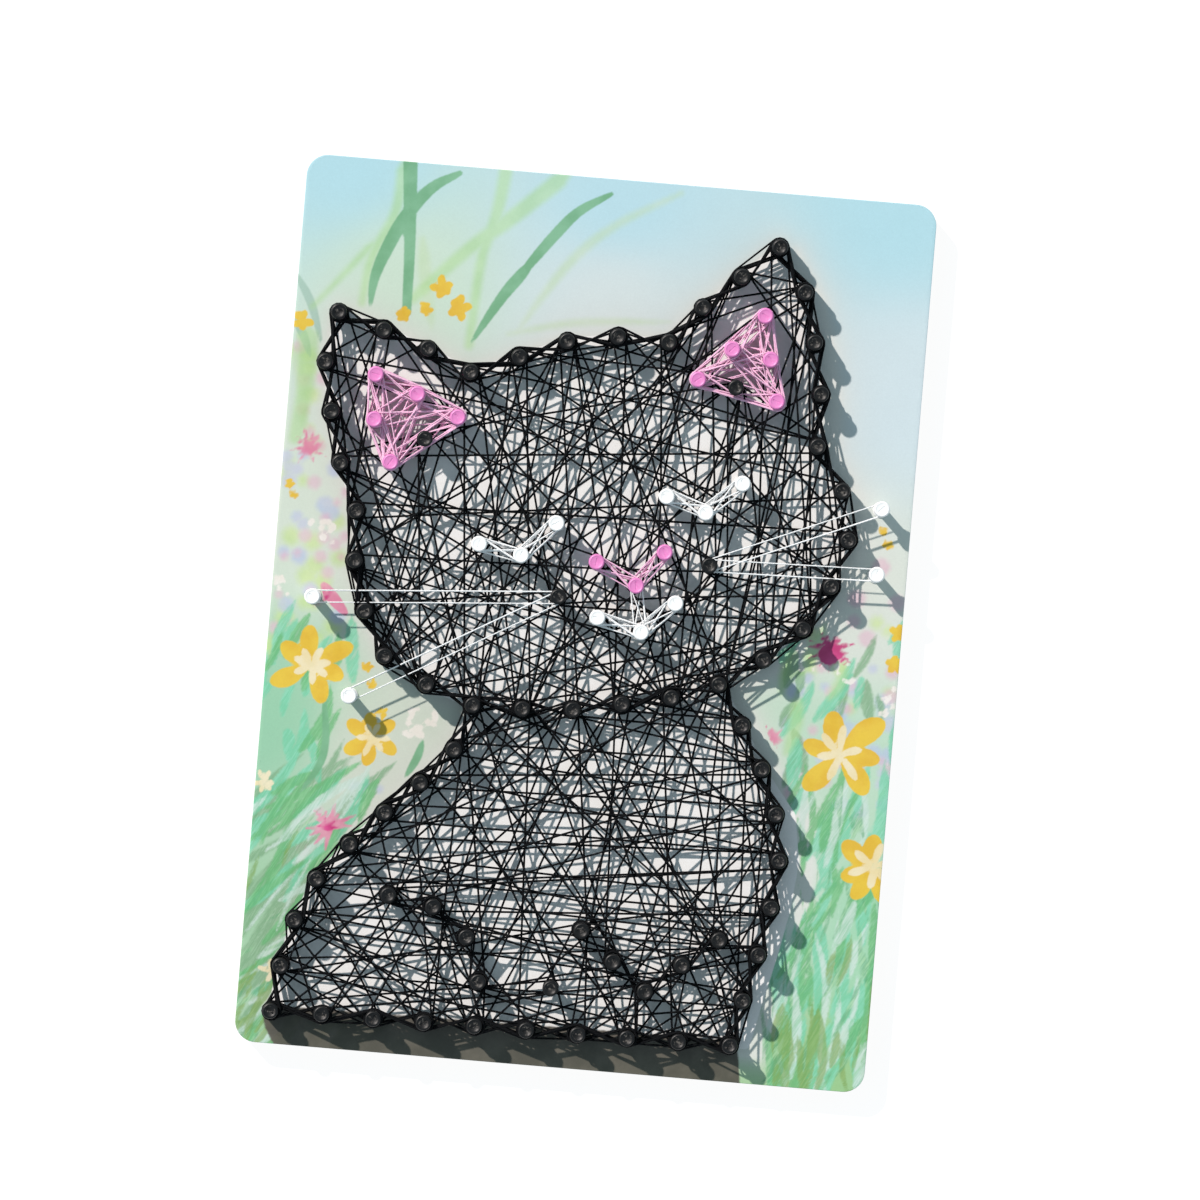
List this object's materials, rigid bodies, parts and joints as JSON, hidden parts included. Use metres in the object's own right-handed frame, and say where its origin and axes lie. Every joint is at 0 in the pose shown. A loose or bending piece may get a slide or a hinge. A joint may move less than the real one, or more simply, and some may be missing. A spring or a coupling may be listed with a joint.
{
  "type": "string art picture board",
  "caption": "Picture board with a cat outlined by plastic pins standing in its face, with black, pink and white thread wound from pin to pin.",
  "frame": {"origin": "middle of the board's back face", "axes": "+Z out of the picture face towards the pins' heads, +Y to the picture's top, +X to the picture's right"},
  "size_m": [0.149, 0.21, 0.0182],
  "materials": {
    "core_fibre": "matt pressed wood fibre with a sawn edge",
    "printed_sheet": "matt card with a printed watercolour meadow",
    "backing_card": "plain matt card",
    "black_plastic": "moulded black plastic with a soft gloss",
    "pink_plastic": "moulded pink plastic with a soft gloss",
    "white_plastic": "moulded white plastic with a soft gloss",
    "black_thread": "twisted black cotton thread",
    "pink_thread": "fine twisted pink thread",
    "white_thread": "fine twisted white thread"
  },
  "bodies": {
    "root": {"backing_sheet": "backing_card", "board_core": "core_fibre", "picture_sheet": "printed_sheet", "left_ear_pin_1": "pink_plastic", "left_ear_pin_2": "pink_plastic", "left_ear_pin_3": "pink_plastic", "left_ear_pin_4": "pink_plastic", "left_ear_pin_5": "pink_plastic", "right_ear_pin_1": "pink_plastic", "right_ear_pin_2": "pink_plastic", "right_ear_pin_3": "pink_plastic", "right_ear_pin_4": "pink_plastic", "right_ear_pin_5": "pink_plastic", "nose_pin_1": "pink_plastic", "nose_pin_2": "pink_plastic", "nose_pin_3": "pink_plastic", "left_eye_pin_1": "white_plastic", "left_eye_pin_2": "white_plastic", "left_eye_pin_3": "white_plastic", "right_eye_pin_1": "white_plastic", "right_eye_pin_2": "white_plastic", "right_eye_pin_3": "white_plastic", "mouth_pin_1": "white_plastic", "mouth_pin_2": "white_plastic", "mouth_pin_3": "white_plastic", "left_whisker_pin_1": "white_plastic", "left_whisker_pin_2": "white_plastic", "right_whisker_pin_1": "white_plastic", "right_whisker_pin_2": "white_plastic", "left_cheek_pin": "black_plastic", "right_cheek_pin": "black_plastic", "left_ear_black_pin": "black_plastic", "right_ear_black_pin": "black_plastic", "paw_pin": "black_plastic", "chest_row": "black_plastic", "chin_row": "black_plastic", "forehead_row": "black_plastic", "haunch_row": "black_plastic", "left_base_row": "black_plastic", "left_cheek_row": "black_plastic", "left_ear_inner_row": "black_plastic", "left_ear_outer_row": "black_plastic", "leg_row": "black_plastic", "lower_back_row": "black_plastic", "right_base_row": "black_plastic", "right_cheek_row": "black_plastic", "right_ear_inner_row": "black_plastic", "right_ear_outer_row": "black_plastic", "right_flank_row": "black_plastic", "upper_back_row": "black_plastic", "head_thread": "black_thread", "body_thread": "black_thread", "left_ear_thread": "pink_thread", "right_ear_thread": "pink_thread", "nose_thread": "pink_thread", "left_eye_thread": "white_thread", "right_eye_thread": "white_thread", "mouth_thread": "white_thread", "left_whisker_thread": "white_thread", "right_whisker_thread": "white_thread"}
  },
  "joints": []
}
